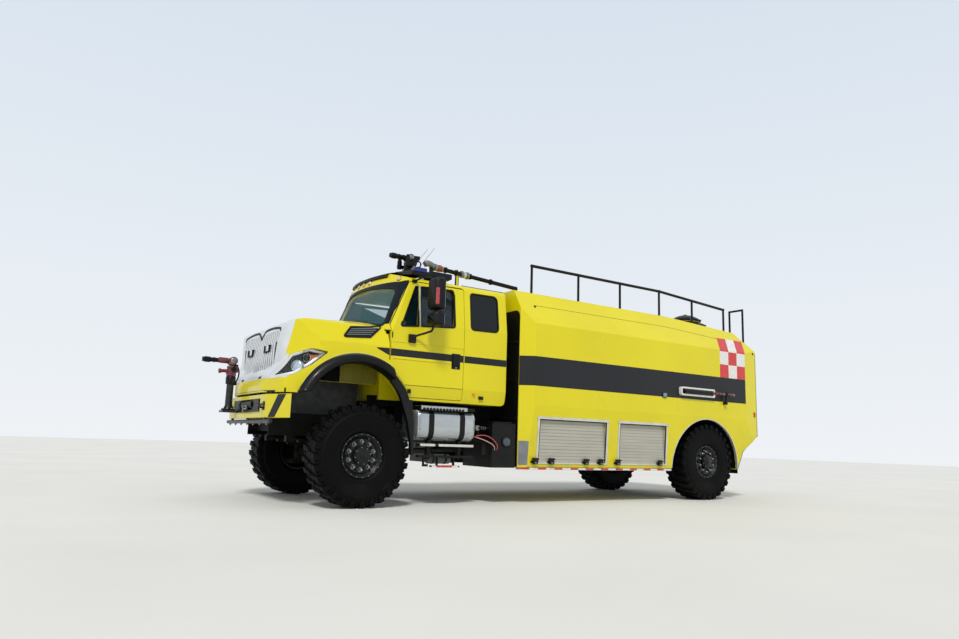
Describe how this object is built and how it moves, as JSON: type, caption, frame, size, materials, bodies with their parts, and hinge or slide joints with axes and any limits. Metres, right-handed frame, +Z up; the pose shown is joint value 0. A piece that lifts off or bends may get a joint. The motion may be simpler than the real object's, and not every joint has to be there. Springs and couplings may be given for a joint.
{
  "type": "airport fire truck",
  "caption": "Bonneted airport fire truck with a tank and locker body, roller shutters, roof rails and water monitors on the bumper and the cab roof.",
  "frame": {"origin": "on the ground at the middle of the truck's length and width", "axes": "+X forward, +Y to the truck's left, +Z up"},
  "size_m": [8.821, 2.8, 3.4022],
  "materials": {
    "yellow": "gloss",
    "black_paint": "satin",
    "tyre": "matte",
    "rim": "satin",
    "grey_metal": "satin",
    "aluminium": "brushed",
    "silver": "satin",
    "glass": "clear",
    "black_plastic": "matte",
    "lamp": "clear",
    "interior": "matte",
    "red_paint": "gloss",
    "mudflap": "matte"
  },
  "bodies": {
    "chassis": {"frame_rails": "black_paint", "front_axle": "black_paint", "rear_axle": "black_paint", "leaf_springs": "black_paint", "drivetrain": "grey_metal", "fuel_tanks": "aluminium", "side_steps": "black_paint", "side_boxes": "black_paint", "bumper": "yellow", "winch": "black_paint", "bumper_pipework": "grey_metal", "cab_shell": "yellow", "cab_glass": "glass", "cab_interior": "interior", "roof_lights": "black_plastic", "roof_monitor_base": "black_paint", "roof_pipe": "black_paint", "tank_body": "yellow", "locker_shutters": "aluminium", "roof_rail_left": "black_paint", "roof_rail_right": "black_paint", "ladder": "black_paint", "mudflaps": "mudflap", "arch_guards": "black_plastic"},
    "knuckle_left": {"knuckle_left": "black_paint"},
    "knuckle_right": {"knuckle_right": "black_paint"},
    "wheel_front_left": {"tyre_front_left": "tyre", "rim_front_left": "rim"},
    "wheel_front_right": {"tyre_front_right": "tyre", "rim_front_right": "rim"},
    "wheel_rear_left": {"tyre_rear_left": "tyre", "rim_rear_left": "rim"},
    "wheel_rear_right": {"tyre_rear_right": "tyre", "rim_rear_right": "rim"},
    "hood": {"hood_shell": "yellow", "grille": "silver", "headlamps": "lamp", "hood_flares": "black_plastic"},
    "left_door": {"door_left": "yellow", "door_glass_left": "glass", "mirror_left": "black_plastic"},
    "right_door": {"door_right": "yellow", "door_glass_right": "glass", "mirror_right": "black_plastic"},
    "front_lid": {"tank_lid_front": "black_paint"},
    "rear_lid": {"tank_lid_rear": "black_paint"},
    "bumper_monitor": {"bumper_monitor": "red_paint"},
    "bumper_nozzle": {"bumper_nozzle": "black_paint"},
    "roof_monitor": {"roof_monitor": "black_paint"},
    "roof_nozzle": {"roof_nozzle": "black_paint"}
  },
  "joints": [
    {"name": "steering_left", "type": "hinge", "parent": "chassis", "child": "knuckle_left", "pos_m": [2.9195, 0.93, 0.59], "axis": [0, 0, 1], "range_deg": [-33, 33]},
    {"name": "steering_right", "type": "hinge", "parent": "chassis", "child": "knuckle_right", "pos_m": [2.9195, -0.93, 0.59], "axis": [0, 0, 1], "range_deg": [-33, 33]},
    {"name": "wheel_front_left_spin", "type": "hinge", "parent": "knuckle_left", "child": "wheel_front_left", "pos_m": [2.9195, 1.07, 0.59], "axis": [0, 1, 0], "continuous": true},
    {"name": "wheel_front_right_spin", "type": "hinge", "parent": "knuckle_right", "child": "wheel_front_right", "pos_m": [2.9195, -1.07, 0.59], "axis": [0, 1, 0], "continuous": true},
    {"name": "wheel_rear_left_spin", "type": "hinge", "parent": "chassis", "child": "wheel_rear_left", "pos_m": [-3.0255, 1.07, 0.59], "axis": [0, 1, 0], "continuous": true},
    {"name": "wheel_rear_right_spin", "type": "hinge", "parent": "chassis", "child": "wheel_rear_right", "pos_m": [-3.0255, -1.07, 0.59], "axis": [0, 1, 0], "continuous": true},
    {"name": "hood_tilt", "type": "hinge", "parent": "chassis", "child": "hood", "pos_m": [3.8995, 0, 1.33], "axis": [0, 1, 0], "range_deg": [0, 15]},
    {"name": "door_left_hinge", "type": "hinge", "parent": "chassis", "child": "left_door", "pos_m": [2.5315, 1.034, 2], "axis": [0, 0, -1], "range_deg": [0, 65]},
    {"name": "door_right_hinge", "type": "hinge", "parent": "chassis", "child": "right_door", "pos_m": [2.5315, -1.034, 2], "axis": [0, 0, 1], "range_deg": [0, 65]},
    {"name": "front_lid_hinge", "type": "hinge", "parent": "chassis", "child": "front_lid", "pos_m": [-3.4255, 0.24, 2.9765], "axis": [1, 0, 0], "range_deg": [0, 100]},
    {"name": "rear_lid_hinge", "type": "hinge", "parent": "chassis", "child": "rear_lid", "pos_m": [-3.8105, 0.371, 2.9418], "axis": [1, 0, 0], "range_deg": [0, 100]},
    {"name": "bumper_monitor_swivel", "type": "hinge", "parent": "chassis", "child": "bumper_monitor", "pos_m": [4.0415, -0.45, 1.5153], "axis": [0, 0, 1], "range_deg": [-90, 90]},
    {"name": "bumper_nozzle_tilt", "type": "hinge", "parent": "bumper_monitor", "child": "bumper_nozzle", "pos_m": [4.0415, -0.45, 1.7053], "axis": [0, -1, 0], "range_deg": [-15, 75]},
    {"name": "roof_monitor_swivel", "type": "hinge", "parent": "chassis", "child": "roof_monitor", "pos_m": [1.8195, 0, 3.1603], "axis": [0, 0, 1], "range_deg": [-160, 160]},
    {"name": "roof_nozzle_tilt", "type": "hinge", "parent": "roof_monitor", "child": "roof_nozzle", "pos_m": [1.8195, 0, 3.3503], "axis": [0, -1, 0], "range_deg": [-15, 75]}
  ],
  "couplings": [
    {"joint": "steering_right", "follows": "steering_left", "ratio": 1}
  ]
}
